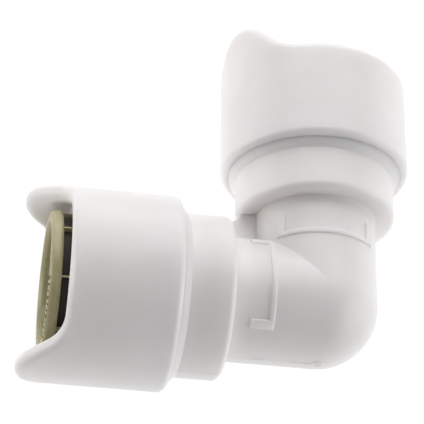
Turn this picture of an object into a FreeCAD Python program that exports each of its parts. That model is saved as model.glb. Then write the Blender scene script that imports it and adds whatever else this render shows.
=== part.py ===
import FreeCAD, Part
import math
import os

# Push-fit elbow for 22 mm pipe, all sizes in millimetres and degrees.
# The elbow lies flat: one arm points along -X, the other along +Y, and +Z is up.
# The origin is the centre of the left arm's pipe stop, where the end of the pipe rests.
# Each arm is described by "along", the distance from the point where the two pipe axes
# cross, and "radius", the distance from the arm's own axis.

# Pipe and socket
pipe_diameter = 22.0
pipe_clearance = 0.15
pipe_stop_along = 19.0
pipe_stop_height = 2.1
waterway_overrun = 3.5
guide_length = 7.0

# Body outside
tube_wall = 2.25
shoulder_reach = 2.0
shoulder_wall = 3.55
shoulder_bevel = 0.5
flange_reach = 0.6
flange_length = 1.0
flange_height = 0.45
sleeve_wall = 1.4
sleeve_end_margin = 0.5

# Raised bracket rib on each tube, and the stump left by the moulding gate
rib_setback = 7.6
rib_width = 1.05
rib_height = 0.35
rib_half_angle = 46.5
rib_leg = 4.2
gate_mark_radius = 1.1
gate_mark_height = 0.12

# Seal and washer
seal_room = 3.05
seal_seat_length = 4.0
seal_bite = 0.05
seal_clearance = 0.05
seal_flats = 6
washer_thickness = 1.5

# Cap
cap_gap = 0.1
cap_fit_clearance = 0.05
cap_wall = 1.85
cap_edge_step = 0.25
cap_bevel_length = 1.0
cone_length = 3.5
throat_length = 3.2
recess_depth = 0.8
horn_wall = 3.1
horn_height = 7.3
horn_tip_round = 8.6
horn_foot_round = 9.0
horn_slope = 43.0
rim_outer_round = 1.5
rim_inner_bevel = 0.5
rim_points = 36
left_horn_turn = -2.0
rear_horn_turn = 22.5

# Collet
slide_clearance = 0.1
collet_travel = 1.6
collet_end_gap = 0.4
collet_head_gap = 0.2
collet_head_step = 0.25
collet_head_length = 2.2
collet_front_bevel = 0.65
collet_lead_in = 0.7
neck_wall = 1.5
finger_wall = 2.35
finger_tip_length = 5.0
finger_count = 8
finger_slot_width = 2.5
finger_slot_end_gap = 0.1
neck_window_width = 6.8
neck_window_length = 3.4
left_slot_turn = 25.5
rear_slot_turn = 20.0

# Grip teeth
tooth_bite = 0.05
tooth_sheet = 0.5
tooth_width = 4.3
tooth_reach = 2.2
tooth_lean = 30.0
tooth_setback = 1.9
insert_clearance = 0.02

# How far a cutting shape runs past the surface that it cuts
overcut = 0.1

# Places along the arm that follow from the sizes above, from the bend outwards
shoulder_along = pipe_stop_along - shoulder_reach
rib_along = shoulder_along - rib_setback
guide_end_along = pipe_stop_along + guide_length
flange_along = guide_end_along - flange_reach
flange_end_along = flange_along + flange_length
cap_start_along = flange_end_along + cap_gap
seat_end_along = guide_end_along + seal_seat_length
washer_end_along = seat_end_along + washer_thickness
sleeve_end_along = washer_end_along + sleeve_end_margin
cap_step_along = sleeve_end_along + cap_gap
collet_tip_along = washer_end_along + collet_end_gap + collet_travel
tooth_along = collet_tip_along + tooth_setback
cone_start_along = collet_tip_along + finger_tip_length
cone_end_along = cone_start_along + cone_length
throat_along = cone_end_along + throat_length
valley_along = throat_along + recess_depth
horn_tip_along = valley_along + horn_height
collet_back_along = throat_along + collet_travel + collet_head_gap
collet_front_along = collet_back_along + collet_head_length

# Radii that follow from the sizes above, from the pipe outwards
pipe_radius = pipe_diameter / 2
guide_radius = pipe_radius + pipe_clearance
waterway_radius = pipe_radius - pipe_stop_height
tube_radius = waterway_radius + tube_wall
shoulder_radius = guide_radius + shoulder_wall
collet_neck_radius = guide_radius + neck_wall
collet_barb_radius = guide_radius + finger_wall
throat_radius = collet_neck_radius + slide_clearance
cone_large_radius = collet_barb_radius + slide_clearance
collet_head_radius = throat_radius + collet_head_step
seal_seat_radius = guide_radius + seal_room
sleeve_radius = seal_seat_radius + sleeve_wall
flange_radius = sleeve_radius + flange_height
cap_bore_radius = sleeve_radius + cap_fit_clearance
cap_edge_radius = flange_radius + cap_edge_step
cap_radius = cap_bore_radius + cap_wall
horn_inner_radius = cap_radius - horn_wall

UP = FreeCAD.Vector(0, 0, 1)
ORIGIN = FreeCAD.Vector(0, 0, 0)
axes_crossing = FreeCAD.Vector(pipe_stop_along, 0, 0)


def arm_place(near_side, outward):
    """Place of an arm that was drawn along +Z with its near side towards +X."""
    turn = FreeCAD.Rotation(near_side, UP, outward, "ZXY")
    return FreeCAD.Placement(axes_crossing, turn)


# The left collet is drawn released and the rear one pushed in, as in the photo
ARMS = {
    "left": {
        "place": arm_place(FreeCAD.Vector(0, -1, 0), FreeCAD.Vector(-1, 0, 0)),
        "horn_turn": left_horn_turn,
        "slot_turn": left_slot_turn,
        "collet_push": 0.0,
    },
    "rear": {
        "place": arm_place(FreeCAD.Vector(-1, 0, 0), FreeCAD.Vector(0, 1, 0)),
        "horn_turn": rear_horn_turn,
        "slot_turn": rear_slot_turn,
        "collet_push": collet_travel,
    },
}


def turned(corners, first_angle=0.0, sweep=360.0):
    """Solid of revolution about the arm's axis, from an outline of (along, radius) corners."""
    points = [FreeCAD.Vector(radius, 0, along) for along, radius in corners]
    face = Part.Face(Part.makePolygon(points + points[:1]))
    solid = face.revolve(ORIGIN, UP, sweep)
    return solid.rotate(ORIGIN, UP, first_angle)


def placed(shape, arm):
    """Copy of a shape drawn along +Z, moved to its arm."""
    copy = shape.copy()
    copy.Placement = ARMS[arm]["place"].multiply(copy.Placement)
    return copy


def arm_outside():
    """Tube, shoulder, flange and the sleeve that goes up inside the cap."""
    return turned([
        (0, 0),
        (0, tube_radius),
        (shoulder_along, tube_radius),
        (shoulder_along, shoulder_radius - shoulder_bevel),
        (shoulder_along + shoulder_bevel, shoulder_radius),
        (flange_along, shoulder_radius),
        (flange_end_along, flange_radius),
        (flange_end_along, sleeve_radius),
        (sleeve_end_along, sleeve_radius),
        (sleeve_end_along, 0),
    ])


def arm_inside():
    """Waterway, pipe stop, guide bore and seal seat, as the space they leave.

    The waterway runs a little past the crossing, as the core pins of such mouldings do,
    so that the two arms join in a bend inside the rounded outer corner.
    """
    return turned([
        (-waterway_overrun, 0),
        (-waterway_overrun, waterway_radius),
        (pipe_stop_along, waterway_radius),
        (pipe_stop_along, guide_radius),
        (guide_end_along, guide_radius),
        (guide_end_along, seal_seat_radius),
        (sleeve_end_along + overcut, seal_seat_radius),
        (sleeve_end_along + overcut, 0),
    ])


def bracket_rib():
    """Raised rib: a band round the top of the tube with a short leg at each end."""
    low = tube_radius - rib_height
    high = tube_radius + rib_height
    leg_angle = math.degrees(rib_width / tube_radius)
    first = 90 - rib_half_angle
    last = 90 + rib_half_angle

    def strip(end_along, start_angle, sweep):
        return turned([
            (rib_along, low),
            (rib_along, high),
            (end_along, high),
            (end_along, low),
        ], start_angle, sweep)

    band = strip(rib_along + rib_width, first, last - first)
    near = strip(rib_along + rib_leg, first, leg_angle)
    far = strip(rib_along + rib_leg, last - leg_angle, leg_angle)
    return band.fuse([near, far])


def gate_mark():
    """Low round stump of the sprue, on the outside of the bend."""
    length = tube_radius + gate_mark_height
    return Part.makeCylinder(gate_mark_radius, length, axes_crossing, FreeCAD.Vector(0, -1, 0))


def elbow_body():
    """Both arms with the spherical outer corner of the bend, hollowed from end to end."""
    outer_corner = Part.makeSphere(tube_radius, axes_crossing)
    solid_parts = [gate_mark()]
    spaces = []
    for arm in ARMS:
        solid_parts.append(placed(arm_outside(), arm))
        solid_parts.append(placed(bracket_rib(), arm))
        spaces.append(placed(arm_inside(), arm))
    return outer_corner.fuse(solid_parts).cut(spaces)


def horn_rise(angle):
    """Height of the rim above the valley, at an angle from the middle of a horn.

    The developed edge is an arc over the tip, a straight flank and an arc into the valley.
    """
    slope = math.radians(horn_slope)
    across = math.radians(abs(angle)) * cap_radius
    tip_half = horn_tip_round * math.sin(slope)
    tip_drop = horn_tip_round * (1 - math.cos(slope))
    foot_half = horn_foot_round * math.sin(slope)
    foot_rise = horn_foot_round * (1 - math.cos(slope))
    flank_half = (horn_height - tip_drop - foot_rise) / math.tan(slope)
    if across <= tip_half:
        return horn_height - horn_tip_round + math.sqrt(horn_tip_round ** 2 - across ** 2)
    if across <= tip_half + flank_half:
        return horn_height - tip_drop - (across - tip_half) * math.tan(slope)
    if across <= tip_half + flank_half + foot_half:
        left_over = tip_half + flank_half + foot_half - across
        return horn_foot_round - math.sqrt(horn_foot_round ** 2 - left_over ** 2)
    return 0.0


def rim_curve(radius, drop):
    """The wavy curve of the rim at a radius, lowered by drop: horns at 0 and 180 degrees."""
    points = []
    for i in range(rim_points):
        angle = 360 * i / rim_points
        from_horn = (angle + 90) % 180 - 90
        across = radius * math.cos(math.radians(angle))
        up = radius * math.sin(math.radians(angle))
        points.append(FreeCAD.Vector(across, up, valley_along + horn_rise(from_horn) - drop))
    curve = Part.BSplineCurve()
    curve.interpolate(Points=points, PeriodicFlag=True)
    return curve.toShape()


def space_above_rim():
    """Space above the wavy rim, which leaves it bevelled inside and rounded off outside.

    The outer round is drawn as two flats that meet on the middle of its arc.
    """
    arc_middle = rim_outer_round * (1 - math.sqrt(0.5))
    steepness = (rim_outer_round - arc_middle) / arc_middle
    section = [
        (horn_inner_radius - overcut, rim_inner_bevel + overcut),
        (horn_inner_radius + rim_inner_bevel, 0),
        (cap_radius - rim_outer_round, 0),
        (cap_radius - arc_middle, arc_middle),
        (cap_radius + overcut, rim_outer_round + overcut * steepness),
    ]
    curves = [rim_curve(radius, drop) for radius, drop in section]
    strips = [Part.makeRuledSurface(near, far) for near, far in zip(curves, curves[1:])]
    return Part.makeShell(strips).extrude(UP * (2 * horn_height))


def cap():
    """Cap with the cone that closes the collet, its throat, recess and horns."""
    blank_end = horn_tip_along + overcut
    blank = turned([
        (cap_start_along, cap_bore_radius),
        (cap_start_along, cap_edge_radius),
        (cap_start_along + cap_bevel_length, cap_radius),
        (blank_end, cap_radius),
        (blank_end, horn_inner_radius),
        (throat_along, horn_inner_radius),
        (throat_along, throat_radius),
        (cone_end_along, throat_radius),
        (cone_start_along, cone_large_radius),
        (cap_step_along, cone_large_radius),
        (cap_step_along, cap_bore_radius),
    ])
    return blank.cut(space_above_rim())


def tooth_strip(clearance):
    """Strip of sheet that leans in towards the pipe stop, at the middle of a finger."""
    run_in = tooth_width / 4 + clearance
    length = run_in + tooth_reach + clearance
    width = tooth_width + 2 * clearance
    corner = FreeCAD.Vector(-run_in, -width / 2, -clearance)
    strip = Part.makeBox(length, width, tooth_sheet + 2 * clearance, corner)
    strip.rotate(ORIGIN, FreeCAD.Vector(0, 1, 0), -tooth_lean)
    return strip.translate(FreeCAD.Vector(pipe_radius, 0, tooth_along))


def tooth():
    """Strip whose inner edge is hollowed to the pipe, which it bites by tooth_bite."""
    pipe_start = FreeCAD.Vector(0, 0, pipe_stop_along)
    pipe = Part.makeCylinder(pipe_radius - tooth_bite, throat_along - pipe_stop_along, pipe_start)
    return tooth_strip(0).cut(pipe)


def gap_cutter(width, start_along, end_along):
    """Box that cuts a gap of that width through the collet's wall, from its axis outwards."""
    corner = FreeCAD.Vector(0, -width / 2, start_along)
    return Part.makeBox(collet_barb_radius + overcut, width, end_along - start_along, corner)


def collet():
    """Head ring and slotted fingers, each on a narrow strip, with a pocket for each tooth."""
    solid = turned([
        (collet_tip_along, guide_radius),
        (collet_tip_along, collet_barb_radius),
        (cone_start_along, collet_barb_radius),
        (cone_end_along, collet_neck_radius),
        (collet_back_along, collet_neck_radius),
        (collet_back_along, collet_head_radius),
        (collet_front_along - collet_front_bevel, collet_head_radius),
        (collet_front_along, collet_head_radius - collet_front_bevel),
        (collet_front_along, guide_radius + collet_lead_in),
        (collet_front_along - collet_lead_in, guide_radius),
    ])
    slot_start = collet_tip_along - overcut
    slot_end = collet_back_along - finger_slot_end_gap
    slot = gap_cutter(finger_slot_width, slot_start, slot_end)
    slot = slot.fuse(gap_cutter(neck_window_width, slot_end - neck_window_length, slot_end))
    pocket = tooth_strip(insert_clearance)
    spaces = []
    for i in range(finger_count):
        turn = 360 * i / finger_count
        spaces.append(slot.copy().rotate(ORIGIN, UP, turn))
        spaces.append(pocket.copy().rotate(ORIGIN, UP, turn + 180 / finger_count))
    return solid.cut(spaces)


def washer():
    """Flat ring between the seal and the collet."""
    outer = seal_seat_radius - seal_clearance
    return turned([
        (seat_end_along, guide_radius),
        (seat_end_along, outer),
        (washer_end_along, outer),
        (washer_end_along, guide_radius),
    ])


def o_ring():
    """Rubber ring, its round section drawn with flats, one on the pipe and one on the seat."""
    inner = pipe_radius - seal_bite
    outer = seal_seat_radius - seal_clearance
    middle_along = (guide_end_along + seat_end_along) / 2
    half_pitch = math.pi / seal_flats
    reach = (outer - inner) / 2 / math.cos(half_pitch)
    corners = []
    for i in range(seal_flats):
        turn = (2 * i + 1) * half_pitch
        corners.append((
            middle_along + reach * math.sin(turn),
            (inner + outer) / 2 + reach * math.cos(turn),
        ))
    return turned(corners)


def save(node, shape):
    shape.exportStep("parts/" + node + ".step")
    print(node, "valid", shape.isValid(), "solids", len(shape.Solids), "volume", round(shape.Volume, 1))


def main():
    os.makedirs("parts", exist_ok=True)
    save("elbow_body", elbow_body())
    cap_shape = cap()
    collet_shape = collet()
    washer_shape = washer()
    o_ring_shape = o_ring()
    tooth_shape = tooth()
    for arm, details in ARMS.items():
        push = UP * -details["collet_push"]
        turned_cap = cap_shape.copy().rotate(ORIGIN, UP, details["horn_turn"])
        turned_collet = collet_shape.copy().rotate(ORIGIN, UP, details["slot_turn"]).translate(push)
        save(arm + "_cap", placed(turned_cap, arm))
        save(arm + "_collet", placed(turned_collet, arm))
        save(arm + "_washer", placed(washer_shape, arm))
        save(arm + "_o_ring", placed(o_ring_shape, arm))
        for i in range(finger_count):
            turn = details["slot_turn"] + 360 * (i + 0.5) / finger_count
            turned_tooth = tooth_shape.copy().rotate(ORIGIN, UP, turn).translate(push)
            save(arm + "_tooth_" + str(i + 1), placed(turned_tooth, arm))


main()
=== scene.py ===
import math

import bmesh
import bpy
from mathutils import Matrix, Vector


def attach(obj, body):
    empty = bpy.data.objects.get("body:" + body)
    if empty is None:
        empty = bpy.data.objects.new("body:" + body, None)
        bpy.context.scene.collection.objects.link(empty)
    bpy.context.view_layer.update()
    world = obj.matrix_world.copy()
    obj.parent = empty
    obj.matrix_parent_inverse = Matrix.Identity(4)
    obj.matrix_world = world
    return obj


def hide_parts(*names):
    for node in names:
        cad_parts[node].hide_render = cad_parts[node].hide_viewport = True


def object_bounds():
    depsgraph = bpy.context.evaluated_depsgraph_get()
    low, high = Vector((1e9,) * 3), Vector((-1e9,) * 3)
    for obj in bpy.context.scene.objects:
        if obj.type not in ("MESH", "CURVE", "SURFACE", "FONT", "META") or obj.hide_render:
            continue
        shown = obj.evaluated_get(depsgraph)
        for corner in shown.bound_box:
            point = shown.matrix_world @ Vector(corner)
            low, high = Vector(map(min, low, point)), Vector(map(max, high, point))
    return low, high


# Looks of a push-fit elbow for 22 mm pipe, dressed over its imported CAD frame.
#
# The sizes below are in millimetres and degrees. Each arm of the elbow is described by
# "along", the distance from the point where the two pipe axes cross, and "radius", the
# distance from the arm's own axis. Points turn into metres only when a mesh is made.

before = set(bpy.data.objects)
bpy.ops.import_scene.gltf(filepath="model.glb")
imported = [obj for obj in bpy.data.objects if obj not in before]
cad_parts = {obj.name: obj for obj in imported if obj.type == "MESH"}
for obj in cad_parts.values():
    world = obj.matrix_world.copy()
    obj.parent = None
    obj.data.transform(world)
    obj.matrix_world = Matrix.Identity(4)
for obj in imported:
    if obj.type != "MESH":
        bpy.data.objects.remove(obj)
cad_low, cad_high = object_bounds()

MM = 0.001

# Body of the fitting
CROSSING = 19.0
TUBE_RADIUS = 11.15
WATERWAY_RADIUS = 8.9
GUIDE_RADIUS = 11.15
PIPE_STOP = 19.0
GUIDE_END = 26.0
SHOULDER_FACE = 17.0
SHOULDER_RADIUS = 14.7
SHOULDER_ROUND = 1.1
SHOULDER_END = 25.0
SHOULDER_DISH = 0.3
FLANGE_END = 26.4
FLANGE_RADIUS = 16.2
SLEEVE_RADIUS = 15.6
SLEEVE_END = 32.0
SEAT_RADIUS = 14.2
PARTING_HEIGHT = 0.15
PARTING_HALF_WIDTH = 0.5
PARTING_FADE_START = 3.2
PARTING_FADE_LENGTH = 4
BEND_SIDES = 180
BEND_ROWS = 44
WATERWAY_ROWS = 16

# Bracket ribs and the gate mark
RIB_START = 9.4
RIB_WIDTH = 1.05
RIB_HEIGHT = 0.35
RIB_HALF_ANGLE = 50.3
RIB_LEG = 4.2
RIB_LEG_WIDTH = 1.8
RIB_ROOT = 0.3
GATE_RADIUS = 1.1
GATE_HEIGHT = 0.12
WEB_HALF_THICKNESS = 1.0
WEB_EDGE = 31.1
WEB_EDGE_BEVEL = 0.4
WEB_SINK = 0.5

# Caps
CAP_START = 26.44
CAP_BORE = 15.65
CAP_EDGE_ROUND = 1.2
CAP_RADIUS = 17.5
CAP_STEP = 32.1
CONE_START = 38.5
CONE_END = 42.0
CONE_RADIUS = 13.6
THROAT_RADIUS = 12.75
THROAT = 45.2
VALLEY = 46.0
HORN_INNER_RADIUS = 14.4
HORN_HEIGHT = 7.3
HORN_TIP_ROUND = 8.6
HORN_FOOT_ROUND = 9.0
HORN_SLOPE = 43.0
RIM_OUTER_ROUND = 1.5
RIM_INNER_ROUND = 1.5
CAP_SIDES = 288
CAP_WALL_ROWS = 12
RIM_STEPS = 8

# Collets
COLLET_TIP = 33.5
BARB_RADIUS = 13.5
NECK_RADIUS = 12.65
COLLET_BACK = 47.0
COLLET_FRONT = 49.2
HEAD_RADIUS = 13.0
HEAD_ROUND = 0.85
LEAD_IN = 0.7
FINGERS = 8
SLOT_WIDTH = 2.5
SLOT_END = 45.0
GROOVE_START = 45.1
GROOVE_RADIUS = 11.8
STRIP_WIDTH = 0.3
BACK_ROUND = 0.75
MARK_DEPTH = 0.28
MARKS_FIRST = -9.0
MARK_WIDTHS = (0.6, 0.2, 0.34, 0.2, 0.9, 0.3, 0.2, 0.55, 0.2, 0.36, 0.7)
MARK_PITCH = 5.2
COLLET_TRAVEL = 1.6
COLLET_SIDES = 192
POCKET_BACK = 1.1

# Grip teeth and seals
TOOTH_ALONG = 35.4
TOOTH_WIDTH = 4.3
TOOTH_SHEET = 0.5
TOOTH_REACH = 2.2
TOOTH_LEAN = 30.0
POCKET_CLEARANCE = 0.03
PIPE_RADIUS = 11.0
SEAL_MIDDLE = 28.0
SEAL_SECTION = 1.55
SEAL_RADIUS = 12.55
SEAL_SIDES = 144
SHARP_ANGLE = 30.0

# Studio: a backlit white table in a white room, distances in metres
TABLE_GLOW = 0.55
ROOM_LIGHT = 0.1
SHOWN_WHITE = 0.94
TABLE_SIDE = 4000.0
LAMP_DISTANCE = 0.8

# Each lamp's bearing and height in degrees, side in metres and power in watts
SOFTBOXES = {
    "back_softbox": (0, 40, 1.0, 6.2),
    "right_softbox": (108, 18, 0.7, 3.4),
    "left_softbox": (272, 14, 0.45, 1.9),
}

# Camera of the photograph: lens in mm on a 36 mm sensor, place in mm, and its own axes
SENSOR_WIDTH = 36.0
LENS = 155.9
EYE = (-51.7, -142.7, 291.4)
EYE_RIGHT = (0.98362, 0.01118, 0.17993)
EYE_UP = (-0.09534, 0.87936, 0.46652)
VIEW_DEPTH = 20.0

# The left collet is released and the rear one pushed in, as in the photo
ARMS = {
    "left": {"horn_turn": -2.0, "slot_turn": 25.5, "push": 0.0},
    "rear": {"horn_turn": 22.5, "slot_turn": 20.0, "push": COLLET_TRAVEL},
}


# Places and meshes

def on_arm(arm, along, radius, angle):
    """Point of an arm, in mm; the angle runs from the arm's near side up towards +Z."""
    a = math.radians(angle)
    across = -radius * math.cos(a)
    up = radius * math.sin(a)
    if arm == "left":
        return Vector((CROSSING - along, across, up))
    return Vector((CROSSING + across, along, up))


def make_piece(name, points, faces):
    """New object from points in mm, with outward faces and smooth shading."""
    mesh = bpy.data.meshes.new(name)
    mesh.from_pydata([p * MM for p in points], [], faces)
    piece = bpy.data.objects.new(name, mesh)
    bpy.context.scene.collection.objects.link(piece)
    finish_mesh(piece)
    return piece


def finish_mesh(piece):
    """Welds double points, turns the faces outwards and marks the sharp edges."""
    work = bmesh.new()
    work.from_mesh(piece.data)
    bmesh.ops.remove_doubles(work, verts=work.verts, dist=0.002 * MM)
    bmesh.ops.recalc_face_normals(work, faces=work.faces)
    work.to_mesh(piece.data)
    work.free()
    piece.data.shade_smooth()
    piece.data.set_sharp_from_angle(angle=math.radians(SHARP_ANGLE))


def ring_faces(rows, sides):
    """Quads between neighbouring rings; the last ring joins the first."""
    faces = []
    for row in range(rows):
        here, there = row * sides, (row + 1) % rows * sides
        for i in range(sides):
            j = (i + 1) % sides
            faces.append((here + i, here + j, there + j, there + i))
    return faces


def combined(piece, tool, operation):
    """Joins or cuts a piece with another one, which is then taken away."""
    step = piece.modifiers.new(operation, "BOOLEAN")
    step.operation = operation
    step.object = tool
    step.solver = "EXACT"
    ready = piece.evaluated_get(bpy.context.evaluated_depsgraph_get())
    result = bpy.data.meshes.new_from_object(ready)
    piece.modifiers.clear()
    piece.data = result
    bpy.data.objects.remove(tool)


def arc(centre, radius, start, end, steps):
    """Points of a round in (along, radius), angles from the along direction."""
    points = []
    for i in range(steps + 1):
        a = math.radians(start + (end - start) * i / steps)
        points.append((centre[0] + radius * math.cos(a), centre[1] + radius * math.sin(a)))
    return points


def turned_piece(name, arm, profile, sides):
    """Closed ring turned about an arm's axis from (along, radius) corners."""
    points = []
    for along, radius in profile:
        for i in range(sides):
            points.append(on_arm(arm, along, radius, 360 * i / sides))
    return make_piece(name, points, ring_faces(len(profile), sides))


# Body

def body_outline():
    """Outside and inside of an arm past the bend, from the shoulder face round to the waterway."""
    face_radius = SHOULDER_RADIUS - SHOULDER_ROUND
    shoulder = arc((SHOULDER_FACE + SHOULDER_ROUND, face_radius), SHOULDER_ROUND, 180, 90, 8)
    outside = [
        (SHOULDER_FACE + SHOULDER_DISH - 0.1, TUBE_RADIUS),
        (SHOULDER_FACE + SHOULDER_DISH, TUBE_RADIUS + 0.1),
        (SHOULDER_FACE + 0.05, face_radius - 0.9),
        (SHOULDER_FACE, face_radius - 0.1),
        *shoulder,
        *[(along / 2, SHOULDER_RADIUS) for along in range(37, 49)],
        (SHOULDER_END, SHOULDER_RADIUS),
        (FLANGE_END - 0.1, FLANGE_RADIUS - 0.14),
        (FLANGE_END - 0.03, FLANGE_RADIUS - 0.06),
        (FLANGE_END, FLANGE_RADIUS - 0.12),
    ]
    hidden = [
        (FLANGE_END, SLEEVE_RADIUS),
        (SLEEVE_END - 0.3, SLEEVE_RADIUS),
        (SLEEVE_END, SLEEVE_RADIUS - 0.3),
        (SLEEVE_END, SEAT_RADIUS + 0.2),
        (SLEEVE_END - 0.2, SEAT_RADIUS),
        (GUIDE_END, SEAT_RADIUS),
        (GUIDE_END, GUIDE_RADIUS + 0.2),
        (GUIDE_END - 0.2, GUIDE_RADIUS),
        (PIPE_STOP, GUIDE_RADIUS),
        (PIPE_STOP, WATERWAY_RADIUS),
    ]
    return outside, hidden


def bend_angles():
    """Angles from the outer side of the bend, with two close lines beside each parting line."""
    step = 360 / BEND_SIDES
    angles = [step * i for i in range(BEND_SIDES)]
    close = [PARTING_HALF_WIDTH, 180 - PARTING_HALF_WIDTH, 180 + PARTING_HALF_WIDTH,
             360 - PARTING_HALF_WIDTH]
    return sorted(angles + close)


def bend_row(radius, angle, share, far_along):
    """Point (along, radius) of a bend wall, from the mitre at share 0 out to far_along at 1."""
    toward_outer = math.cos(math.radians(angle))
    start = -radius * toward_outer
    if toward_outer > 0:
        start /= math.sqrt(1 + toward_outer ** 2)
    along = start + (far_along - start) * share
    if along < 0:
        return along, math.sqrt(radius ** 2 - along ** 2)
    return along, radius


def half_body(mirrored):
    """Shell of the left arm out of the mitre plane, or of the rear arm as its mirror image."""
    outside, hidden = body_outline()
    angles = bend_angles()
    shares = [0, 0.004, 0.012, *[(i + 0.5) / BEND_ROWS for i in range(BEND_ROWS)], 1]
    rows = []

    def add_row(place):
        ring = []
        for angle in angles:
            along, radius = place(angle)
            a = math.radians(angle)
            point = Vector((-along, -radius * math.cos(a), radius * math.sin(a)))
            if mirrored:
                point = Vector((-point.y, -point.x, point.z))
            ring.append(point + Vector((CROSSING, 0, 0)))
        rows.append(ring)

    def parting(angle, along):
        if min(angle % 180, 180 - angle % 180) > 0.01:
            return 0.0
        fade = min(1.0, max(0.0, (along - PARTING_FADE_START) / PARTING_FADE_LENGTH))
        # Two waves of different length, so that the flash is not an even ridge
        uneven = 0.5 + 0.3 * math.sin(1.1 * along) + 0.2 * math.sin(4.7 * along)
        return PARTING_HEIGHT * fade * uneven

    for share in shares:
        add_row(lambda angle: bend_row(
            TUBE_RADIUS + parting(angle, share * SHOULDER_FACE), angle, share,
            SHOULDER_FACE - 0.5))
    for along, radius in outside:
        add_row(lambda angle: (along, radius + parting(angle, along)))
    for along, radius in hidden:
        add_row(lambda angle: (along, radius))
    for share in (1, *[1 - (i + 1) / WATERWAY_ROWS for i in range(WATERWAY_ROWS)]):
        add_row(lambda angle: bend_row(WATERWAY_RADIUS, angle, share, PIPE_STOP - 0.3))
    points = [p for ring in rows for p in ring]
    sides = len(angles)
    faces = [f for f in ring_faces(len(rows), sides) if max(f) - min(f) < 2 * sides]
    return points, faces


def rib_section(half):
    """Section of a rib this wide to each side: (offset, height), drafted, with rounded edges."""
    side = [(-half - 0.05, -RIB_ROOT), (-half, 0.04), (-half + 0.05, RIB_HEIGHT - 0.15),
            (-half + 0.11, RIB_HEIGHT - 0.05), (-half + 0.2, RIB_HEIGHT)]
    return side + [(-offset, height) for offset, height in reversed(side)]


def rib_strip(arm):
    """Bracket-shaped raised rib: a band round the top of the tube with a short leg at each end."""
    to_angle = math.degrees(1 / TUBE_RADIUS)
    leg_half_angle = RIB_LEG_WIDTH / 2 * to_angle
    edge = RIB_HALF_ANGLE - leg_half_angle
    between_legs = edge - leg_half_angle - 0.5
    leg_end = RIB_START + RIB_LEG
    band = RIB_START + RIB_WIDTH / 2
    arc_steps = 40
    path = [(leg_end, 90 - edge), (band, 90 - edge)]
    path += [(band, 90 + between_legs * (2 * i / arc_steps - 1)) for i in range(arc_steps + 1)]
    path += [(band, 90 + edge), (leg_end, 90 + edge)]
    section = list(zip(rib_section(RIB_WIDTH / 2), rib_section(RIB_LEG_WIDTH / 2)))
    flat = [Vector((along, angle / to_angle)) for along, angle in path]
    points = []
    for i, here in enumerate(flat):
        before = flat[max(i - 1, 0)]
        after = flat[min(i + 1, len(flat) - 1)]
        first = (here - before).normalized() if i else (after - here).normalized()
        second = (after - here).normalized() if i < len(flat) - 1 else first
        side = Vector((-first.y, first.x)) + Vector((-second.y, second.x))
        side = side / (1 + first.dot(second))
        for (on_band, height), (on_leg, _) in section:
            place = here + Vector((side.x * on_band, side.y * on_leg))
            points.append(on_arm(arm, place.x, TUBE_RADIUS + height, place.y * to_angle))
    count = len(section)
    faces = []
    for i in range(len(flat) - 1):
        for k in range(count):
            n = (k + 1) % count
            faces.append((i * count + k, i * count + n, (i + 1) * count + n, (i + 1) * count + k))
    faces.append(tuple(range(count)))
    faces.append(tuple(range((len(flat) - 1) * count, len(flat) * count)))
    return make_piece(arm + "_rib", points, faces)


def gate_stump():
    """Low round stump on the outside of the bend, dished where the gate was twisted off."""
    top = TUBE_RADIUS + GATE_HEIGHT
    profile = [
        (0.0, TUBE_RADIUS - 1),
        (GATE_RADIUS, TUBE_RADIUS - 1),
        (GATE_RADIUS, top - 0.05),
        (GATE_RADIUS - 0.06, top),
        (GATE_RADIUS - 0.35, top),
        (GATE_RADIUS - 0.5, top - 0.1),
        (0.25, top - 0.12),
        (0.12, top + 0.02),
        (0.0, top + 0.02),
    ]
    sides = 40
    points = []
    for across, out in profile:
        for i in range(sides):
            a = 2 * math.pi * i / sides
            points.append(Vector((CROSSING + across * math.cos(a), -out, across * math.sin(a))))
    faces = [f for f in ring_faces(len(profile), sides) if max(f) - min(f) < 2 * sides]
    return make_piece("gate", points, faces)


def corner_web():
    """Web in the inner corner, between the two shoulders, with a slanting free edge."""
    inside = SHOULDER_FACE + WEB_SINK
    root = TUBE_RADIUS - 0.65
    outline = [(inside, root), (inside, WEB_EDGE - inside), (WEB_EDGE - inside, inside),
               (root, inside), (root, root)]
    bevel = WEB_EDGE_BEVEL
    section = [(-WEB_HALF_THICKNESS, bevel), (-WEB_HALF_THICKNESS + bevel, 0),
               (WEB_HALF_THICKNESS - bevel, 0), (WEB_HALF_THICKNESS, bevel)]
    points = []
    for height, inset in section:
        for k, (along_left, along_rear) in enumerate(outline):
            back = inset if k in (1, 2) else 0
            points.append(Vector((CROSSING - along_left + back * (k == 2),
                                  along_rear - back * (k == 1), height)))
    count = len(outline)
    faces = [f for f in ring_faces(len(section), count) if max(f) - min(f) < 2 * count]
    faces += [tuple(range(count)), tuple(range((len(section) - 1) * count, len(section) * count))]
    return make_piece("corner_web", points, faces)


def elbow_body():
    """The body as one skin: two mirrored half shells with the ribs and the gate joined on."""
    left_points, left_faces = half_body(False)
    rear_points, rear_faces = half_body(True)
    shift = len(left_points)
    faces = left_faces + [tuple(i + shift for i in f) for f in rear_faces]
    body = make_piece("moulded_elbow", left_points + rear_points, faces)
    for arm in ARMS:
        combined(body, rib_strip(arm), "UNION")
    combined(body, gate_stump(), "UNION")
    finish_mesh(body)
    return body


# Caps

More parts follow.
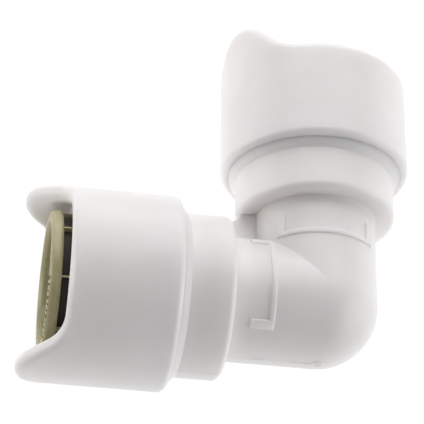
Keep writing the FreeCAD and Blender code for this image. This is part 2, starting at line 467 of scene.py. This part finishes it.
def rim_along(angle, drop):
    """Place of the wavy rim at an angle from the middle of a horn, lowered square to its edge."""
    slope = math.radians(HORN_SLOPE)
    from_horn = (angle + 90) % 180 - 90
    across = math.radians(abs(from_horn)) * CAP_RADIUS
    tip = HORN_TIP_ROUND - drop
    foot = HORN_FOOT_ROUND + drop
    tip_centre = HORN_HEIGHT - HORN_TIP_ROUND
    flank_rise = HORN_HEIGHT - (HORN_TIP_ROUND + HORN_FOOT_ROUND) * (1 - math.cos(slope))
    foot_centre = ((HORN_TIP_ROUND + HORN_FOOT_ROUND) * math.sin(slope)
                   + flank_rise / math.tan(slope))
    if across <= tip * math.sin(slope):
        rise = tip_centre + math.sqrt(tip ** 2 - across ** 2)
    elif across <= foot_centre - foot * math.sin(slope):
        rise = (tip_centre + tip * math.cos(slope)
                - (across - tip * math.sin(slope)) * math.tan(slope))
    elif across <= foot_centre:
        rise = HORN_FOOT_ROUND - math.sqrt(foot ** 2 - (foot_centre - across) ** 2)
    else:
        rise = -drop
    return VALLEY + rise


def scalloped_cap(arm, turn):
    """Cap with rounded wavy rim, two horns, and the throat and cone inside it."""
    columns = [360 * i / CAP_SIDES for i in range(CAP_SIDES)]
    rows = []
    round_centre = (CAP_START + CAP_EDGE_ROUND, CAP_RADIUS - CAP_EDGE_ROUND)
    below_rim = [(CAP_START, CAP_BORE), *arc(round_centre, CAP_EDGE_ROUND, 180, 90, 10)]
    inside = [
        (THROAT + 0.1, HORN_INNER_RADIUS),
        (THROAT, HORN_INNER_RADIUS - 0.1),
        (THROAT, THROAT_RADIUS + 0.3),
        (THROAT - 0.3, THROAT_RADIUS),
        (CONE_END, THROAT_RADIUS),
        (CONE_START, CONE_RADIUS),
        (CAP_STEP, CONE_RADIUS),
        (CAP_STEP, CAP_BORE),
    ]
    for along, radius in below_rim:
        rows.append([(along, radius)] * CAP_SIDES)
    wall_start = CAP_START + CAP_EDGE_ROUND
    for i in range(1, CAP_WALL_ROWS):
        share = i / CAP_WALL_ROWS
        rows.append([(wall_start + (rim_along(a, RIM_OUTER_ROUND) - wall_start) * share, CAP_RADIUS)
                     for a in columns])
    for i in range(RIM_STEPS + 1):
        a = math.radians(90 * i / RIM_STEPS)
        radius = CAP_RADIUS - RIM_OUTER_ROUND * (1 - math.cos(a))
        drop = RIM_OUTER_ROUND * (1 - math.sin(a))
        rows.append([(rim_along(c, drop), radius) for c in columns])
    for i in range(RIM_STEPS + 1):
        a = math.radians(90 - 90 * i / RIM_STEPS)
        radius = HORN_INNER_RADIUS + RIM_INNER_ROUND * (1 - math.cos(a))
        drop = RIM_INNER_ROUND * (1 - math.sin(a))
        rows.append([(rim_along(c, drop), radius) for c in columns])
    wall_end = THROAT + 0.1
    for share in (0.25, 0.5, 0.75):
        start = [max(rim_along(a, RIM_INNER_ROUND), wall_end) for a in columns]
        rows.append([(s + (wall_end - s) * share, HORN_INNER_RADIUS) for s in start])
    for along, radius in inside:
        rows.append([(along, radius)] * CAP_SIDES)
    points = []
    for row in rows:
        for angle, (along, radius) in zip(columns, row):
            points.append(on_arm(arm, along, radius, angle + turn))
    return make_piece(arm + "_scalloped_cap", points, ring_faces(len(rows), CAP_SIDES))


# Collets

def box_on_arm(arm, corners, turn):
    """Eight-cornered box given by (along, inward radius, across) corners, turned about the arm."""
    a = math.radians(turn)
    points = []
    for along, out, across in corners:
        near = out * math.cos(a) - across * math.sin(a)
        up = out * math.sin(a) + across * math.cos(a)
        if arm == "left":
            points.append(Vector((CROSSING - along, -near, up)))
        else:
            points.append(Vector((CROSSING - near, along, up)))
    faces = [(0, 1, 2, 3), (7, 6, 5, 4), (0, 4, 5, 1), (1, 5, 6, 2), (2, 6, 7, 3), (3, 7, 4, 0)]
    return points, faces


def joined_boxes(name, boxes):
    """One piece from several boxes, to cut or join them all at once."""
    points, faces = [], []
    for box_points, box_faces in boxes:
        shift = len(points)
        points += box_points
        faces += [tuple(i + shift for i in f) for f in box_faces]
    return make_piece(name, points, faces)


def wall_corners(width, start, end, inner, outer):
    """Corners of a straight block in the collet's wall."""
    corners = []
    for across in (-width / 2, width / 2):
        corners += [(start, inner, across), (end, inner, across),
                    (end, outer, across), (start, outer, across)]
    return corners


def pocket_corners():
    """Pocket that a grip tooth sits in, leaning in towards the pipe stop."""
    lean = math.radians(TOOTH_LEAN)
    half = TOOTH_WIDTH / 2 + POCKET_CLEARANCE
    back = -POCKET_BACK
    front = TOOTH_REACH + POCKET_CLEARANCE
    low = -POCKET_CLEARANCE
    high = TOOTH_SHEET + POCKET_CLEARANCE
    corners = []
    for across in (-half, half):
        for x, z in ((back, low), (front, low), (front, high), (back, high)):
            out = PIPE_RADIUS + x * math.cos(lean) - z * math.sin(lean)
            along = TOOTH_ALONG + x * math.sin(lean) + z * math.cos(lean)
            corners.append((along, out, across))
    return corners


def split_collet(arm, turn, push):
    """Head ring with rounded front, eight slotted fingers, and plain notches in its front edge.

    Behind the head the sleeve gets a near-black second material, painted shade standing for the
    deep shade in the groove there. A thin beige strip over each slot keeps the collet's own colour.
    """
    head_back = arc((COLLET_BACK + BACK_ROUND, HEAD_RADIUS - BACK_ROUND), BACK_ROUND, 180, 90, 8)
    head_front = arc((COLLET_FRONT - HEAD_ROUND, HEAD_RADIUS - HEAD_ROUND), HEAD_ROUND, 90, 0, 8)
    profile = [
        (COLLET_TIP, GUIDE_RADIUS + 0.2),
        (COLLET_TIP, BARB_RADIUS - 0.3),
        (COLLET_TIP + 0.3, BARB_RADIUS),
        (CONE_START, BARB_RADIUS),
        (CONE_END, NECK_RADIUS),
        (GROOVE_START, NECK_RADIUS),
        (GROOVE_START, GROOVE_RADIUS),
        (COLLET_BACK, GROOVE_RADIUS),
        *head_back,
        *head_front,
        (COLLET_FRONT - 0.04, GUIDE_RADIUS + LEAD_IN - 0.1),
        (COLLET_FRONT - 0.12, GUIDE_RADIUS + LEAD_IN - 0.25),
        (COLLET_FRONT - LEAD_IN, GUIDE_RADIUS + 0.05),
        (COLLET_FRONT - LEAD_IN - 0.2, GUIDE_RADIUS),
        (COLLET_TIP + 0.2, GUIDE_RADIUS),
    ]
    piece = turned_piece(arm + "_split_collet", arm, profile, COLLET_SIDES)
    slots, strips = [], []
    for i in range(FINGERS):
        middle = turn + 360 * i / FINGERS
        slots.append(box_on_arm(arm, wall_corners(
            SLOT_WIDTH, COLLET_TIP - 1, SLOT_END, 9.0, BARB_RADIUS + 1), middle))
        slots.append(box_on_arm(arm, pocket_corners(), middle + 180 / FINGERS))
        strips.append(box_on_arm(arm, wall_corners(
            STRIP_WIDTH, GROOVE_START - 0.1, COLLET_BACK + 0.5, GROOVE_RADIUS - 0.2, NECK_RADIUS),
            middle))
    combined(piece, joined_boxes("slots", slots), "DIFFERENCE")
    combined(piece, joined_boxes("strips", strips), "UNION")
    combined(piece, joined_boxes("marks", edge_marks(arm, turn)), "DIFFERENCE")
    finish_mesh(piece)
    paint_sleeve_shade(piece, arm)
    outward = on_arm(arm, 1, 0, 0) - on_arm(arm, 0, 0, 0)
    piece.data.transform(Matrix.Translation(outward * -push * MM))
    return piece


def paint_sleeve_shade(piece, arm):
    """Puts painted shade, the second slot, on the sleeve's faces; the first slot goes to the rest.
    """
    crossing = on_arm(arm, 0, 0, 0)
    outward = on_arm(arm, 1, 0, 0) - crossing
    piece.data.materials.append(None)
    piece.data.materials.append(None)
    for face in piece.data.polygons:
        middle = face.center / MM - crossing
        along = middle.dot(outward)
        radius = (middle - outward * along).length
        # Faces behind the head, off the strips, get the near-black painted shade
        in_painted_shade = along < COLLET_BACK - 0.01 and radius > GUIDE_RADIUS + 0.1
        on_strip = along > GROOVE_START + 0.02 and radius > GROOVE_RADIUS + 0.02
        face.material_index = 1 if in_painted_shade and not on_strip else 0


def edge_marks(arm, turn):
    """Plain notches of mixed widths in one stretch of the front edge, as moulded-in marks."""
    return [
        box_on_arm(arm, wall_corners(width, COLLET_FRONT - MARK_DEPTH, COLLET_FRONT + 1,
                                     GUIDE_RADIUS + LEAD_IN + 0.1, HEAD_RADIUS - 0.2),
                   turn + MARKS_FIRST + MARK_PITCH * i)
        for i, width in enumerate(MARK_WIDTHS)
    ]


# Materials

def linear(hex_colour):
    """Linear colour with alpha from an sRGB hex value."""
    channels = [int(hex_colour[i:i + 2], 16) / 255 for i in (1, 3, 5)]
    return (*[c / 12.92 if c <= 0.04045 else ((c + 0.055) / 1.055) ** 2.4 for c in channels], 1)


def add_node(tree, kind, settings=None, links=None):
    """Adds a node; settings name attributes or sockets, links give (node, output) per socket."""
    node = tree.nodes.new(kind)
    for key, value in (settings or {}).items():
        if isinstance(key, int) or key in node.inputs:
            node.inputs[key].default_value = value
        else:
            setattr(node, key, value)
    for key, (source, output) in (links or {}).items():
        tree.links.new(source.outputs[output], node.inputs[key])
    return node


def new_material(name, settings):
    """Material with one Principled shader, and its tree, shader and place texture node."""
    material = bpy.data.materials.new(name)
    material.use_nodes = True
    tree = material.node_tree
    tree.nodes.clear()
    shader = add_node(tree, "ShaderNodeBsdfPrincipled", settings)
    add_node(tree, "ShaderNodeOutputMaterial", links={"Surface": (shader, 0)})
    place = add_node(tree, "ShaderNodeTexCoord")
    return material, tree, shader, place


def per_metre(size_mm):
    """Texture scale at which one cell of the pattern has this size."""
    return 1 / (size_mm * MM)


def moulded_plastic(name, light, dark, roughness, flow_mm, grain_mm, grain_depth, settings):
    """Injection-moulded plastic: cloudy flow tones, a fine satin grain and uneven gloss.

    The grain that a blasted or polished tool leaves is about 0.05 mm across, too fine to show
    in the render. Each grain_mm is therefore drawn coarser, as coarse as it needs to show.
    """
    material, tree, shader, place = new_material(name, settings)
    flow = add_node(tree, "ShaderNodeTexNoise", {"Scale": per_metre(flow_mm), "Detail": 3.0},
                    {"Vector": (place, "Object")})
    tones = add_node(tree, "ShaderNodeValToRGB", links={"Fac": (flow, "Fac")})
    tones.color_ramp.elements[0].position = 0.3
    tones.color_ramp.elements[0].color = linear(dark)
    tones.color_ramp.elements[1].position = 0.7
    tones.color_ramp.elements[1].color = linear(light)
    tree.links.new(tones.outputs["Color"], shader.inputs["Base Color"])
    gloss = add_node(tree, "ShaderNodeMapRange",
                     {"To Min": roughness[0], "To Max": roughness[1]}, {"Value": (flow, "Fac")})
    tree.links.new(gloss.outputs["Result"], shader.inputs["Roughness"])
    grain = add_node(tree, "ShaderNodeTexNoise", {"Scale": per_metre(grain_mm), "Detail": 2.0},
                     {"Vector": (place, "Object")})
    bump = add_node(tree, "ShaderNodeBump", {"Strength": 0.5, "Distance": grain_depth * MM},
                    {"Height": (grain, "Fac")})
    tree.links.new(bump.outputs["Normal"], shader.inputs["Normal"])
    return material


def white_acetal():
    """White acetal copolymer, moulded in a lightly blasted tool.

    A soft satin sheen, milky where the wall is thin.
    """
    return moulded_plastic("white_acetal", "#F2EFEE", "#EDEAE9", (0.3, 0.4), 9.0, 0.4, 0.01, {
        "IOR": 1.48,
        "Subsurface Weight": 0.5,
        "Subsurface Radius": (1.0, 0.97, 0.8),
        "Subsurface Scale": 0.0025,
    })


def beige_acetal():
    """Beige acetal, moulded in a polished tool: smoother than the body, slightly waxy."""
    return moulded_plastic("beige_acetal", "#B4AC84", "#A79F77", (0.22, 0.32), 6.0, 0.35, 0.008, {
        "IOR": 1.48,
        "Subsurface Weight": 0.2,
        "Subsurface Radius": (1.0, 0.9, 0.6),
        "Subsurface Scale": 0.001,
    })


def painted_shade_acetal():
    """Painted shade on the sleeve behind the beige head: matt near-black brown."""
    return moulded_plastic("painted_shade_acetal", "#251F14", "#1E190F", (0.5, 0.62), 6.0, 0.35, 0.008, {
        "IOR": 1.48,
        "Specular IOR Level": 0.3,
    })


def natural_nylon():
    """Uncoloured glass-filled nylon of the washers: ivory, dry and matt."""
    return moulded_plastic("natural_nylon", "#DAD3BD", "#CEC6AE", (0.5, 0.62), 3.0, 0.25, 0.015, {
        "IOR": 1.53,
    })


def epdm_rubber():
    """Moulded EPDM of the O-rings: near black, a dull sheen from the silicone grease on it."""
    return moulded_plastic("epdm_rubber", "#262626", "#1C1C1C", (0.38, 0.6), 2.0, 0.2, 0.01, {
        "IOR": 1.52,
    })


def spring_stainless():
    """Cold-rolled stainless strip of the grip teeth: bright grey with fine rolling lines.

    Real rolling lines are a few hundredths of a millimetre apart and are drawn coarser here,
    so that they show.
    """
    material, tree, shader, place = new_material("spring_stainless", {"Metallic": 1.0})
    line_mm = 0.15
    line_stretch = 12
    stretch = add_node(tree, "ShaderNodeMapping", {"Scale": (1.0, 1.0, line_stretch)},
                       {"Vector": (place, "Object")})
    lines = add_node(tree, "ShaderNodeTexNoise",
                     {"Scale": per_metre(line_mm) / line_stretch, "Detail": 2.0},
                     {"Vector": (stretch, 0)})
    tones = add_node(tree, "ShaderNodeValToRGB", links={"Fac": (lines, "Fac")})
    tones.color_ramp.elements[0].color = linear("#A6A7A8")
    tones.color_ramp.elements[1].color = linear("#C9CACB")
    tree.links.new(tones.outputs["Color"], shader.inputs["Base Color"])
    gloss = add_node(tree, "ShaderNodeMapRange", {"To Min": 0.22, "To Max": 0.4},
                     {"Value": (lines, "Fac")})
    tree.links.new(gloss.outputs["Result"], shader.inputs["Roughness"])
    return material


def paint(piece, material, second=None):
    """Gives a piece its material, on the object's own slots; a second one, painted shade, goes on
    slot 1.
    """
    if not piece.material_slots:
        piece.data.materials.append(None)
    for slot in piece.material_slots:
        slot.material = material
    if second:
        piece.material_slots[1].material = second


# Studio

def seen_directly(tree):
    """1 for a ray that shows the background itself: straight, in a gloss or through glass."""
    path = add_node(tree, "ShaderNodeLightPath")
    either = add_node(tree, "ShaderNodeMath", {"operation": "MAXIMUM"},
                      {0: (path, "Is Camera Ray"), 1: (path, "Is Glossy Ray")})
    return add_node(tree, "ShaderNodeMath", {"operation": "MAXIMUM"},
                    {0: (either, 0), 1: (path, "Is Transmission Ray")})


def pale_floor():
    """Backlit white paper that the fitting lies on.

    It lights the fitting evenly from below. Seen directly it shows as white, set apart
    through Light Path, with a faint shadow.
    """
    half = TABLE_SIDE / 2
    low = cad_low.z / MM
    corners = [Vector((x, y, low))
               for x, y in ((-half, -half), (half, -half), (half, half), (-half, half))]
    floor = make_piece("paper_floor", corners, [(0, 1, 2, 3)])
    material = bpy.data.materials.new("white_paper")
    material.use_nodes = True
    tree = material.node_tree
    tree.nodes.clear()
    paper = add_node(tree, "ShaderNodeBsdfDiffuse", {"Color": linear("#E8E8E8")})
    backlight = add_node(tree, "ShaderNodeEmission", {"Strength": TABLE_GLOW})
    table = add_node(tree, "ShaderNodeAddShader", links={0: (paper, 0), 1: (backlight, 0)})
    white = add_node(tree, "ShaderNodeEmission", {"Strength": SHOWN_WHITE})
    shade = add_node(tree, "ShaderNodeBsdfDiffuse", {"Color": linear("#606060")})
    shown = add_node(tree, "ShaderNodeAddShader", links={0: (white, 0), 1: (shade, 0)})
    mix = add_node(tree, "ShaderNodeMixShader",
                   links={0: (seen_directly(tree), 0), 1: (table, 0), 2: (shown, 0)})
    add_node(tree, "ShaderNodeOutputMaterial", links={"Surface": (mix, 0)})
    paint(floor, material)


def white_room(strength):
    """World that lights softly and shows as plain white."""
    world = bpy.data.worlds.new("white_room")
    bpy.context.scene.world = world
    world.use_nodes = True
    tree = world.node_tree
    tree.nodes.clear()
    lit = add_node(tree, "ShaderNodeMapRange", {"To Min": strength, "To Max": 1.0},
                   {"Value": (seen_directly(tree), 0)})
    light = add_node(tree, "ShaderNodeBackground", {"Color": (1, 1, 1, 1)},
                     {"Strength": (lit, "Result")})
    add_node(tree, "ShaderNodeOutputWorld", links={"Surface": (light, 0)})


def softbox(name, bearing, height, side, power):
    """Square lamp aimed at the fitting; bearing in degrees from +Y towards +X, height likewise."""
    lamp = bpy.data.lights.new(name, "AREA")
    lamp.size = side
    lamp.energy = power
    box = bpy.data.objects.new(name, lamp)
    turn, lift = math.radians(bearing), math.radians(height)
    toward = Vector((math.sin(turn) * math.cos(lift), math.cos(turn) * math.cos(lift),
                     math.sin(lift)))
    box.location = toward * LAMP_DISTANCE
    box.rotation_euler = toward.to_track_quat("Z", "Y").to_euler()
    bpy.context.scene.collection.objects.link(box)


def photo_camera():
    """Camera at the photograph's viewing angle, fitted to the rings and outlines in it."""
    camera = bpy.data.cameras.new("photo_camera")
    camera.sensor_width = SENSOR_WIDTH
    camera.lens = LENS
    camera.clip_end = VIEW_DEPTH
    eye = bpy.data.objects.new("photo_camera", camera)
    right = Vector(EYE_RIGHT)
    up = Vector(EYE_UP)
    turn = Matrix((right, up, right.cross(up))).transposed()
    eye.matrix_world = Matrix.Translation(Vector(EYE) * MM) @ turn.to_4x4()
    bpy.context.scene.collection.objects.link(eye)
    bpy.context.scene.camera = eye


# Putting it together

white = white_acetal()
beige = beige_acetal()
sleeve_shade_paint = painted_shade_acetal()
nylon = natural_nylon()
rubber = epdm_rubber()
steel = spring_stainless()

body = elbow_body()
paint(body, white)
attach(body, "fitting")
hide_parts("elbow_body")

web = corner_web()
paint(web, white)
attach(web, "fitting")

for arm, details in ARMS.items():
    cap = scalloped_cap(arm, details["horn_turn"])
    paint(cap, white)
    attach(cap, "fitting")
    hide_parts(arm + "_cap")

    collet = split_collet(arm, details["slot_turn"], details["push"])
    # The second material is painted shade: near-black on the sleeve behind the head
    paint(collet, beige, sleeve_shade_paint)
    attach(collet, arm + "_grip")
    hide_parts(arm + "_collet")

    seal_round = arc((SEAL_MIDDLE, SEAL_RADIUS), SEAL_SECTION, 0, 345, 23)
    seal = turned_piece(arm + "_round_seal", arm, seal_round, SEAL_SIDES)
    paint(seal, rubber)
    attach(seal, "fitting")
    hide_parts(arm + "_o_ring")

    paint(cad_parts[arm + "_washer"], nylon)
    for i in range(FINGERS):
        paint(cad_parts[f"{arm}_tooth_{i + 1}"], steel)

pale_floor()
white_room(ROOM_LIGHT)
for lamp_name, lamp_settings in SOFTBOXES.items():
    softbox(lamp_name, *lamp_settings)
photo_camera()

bpy.context.scene.view_settings.view_transform = "Standard"
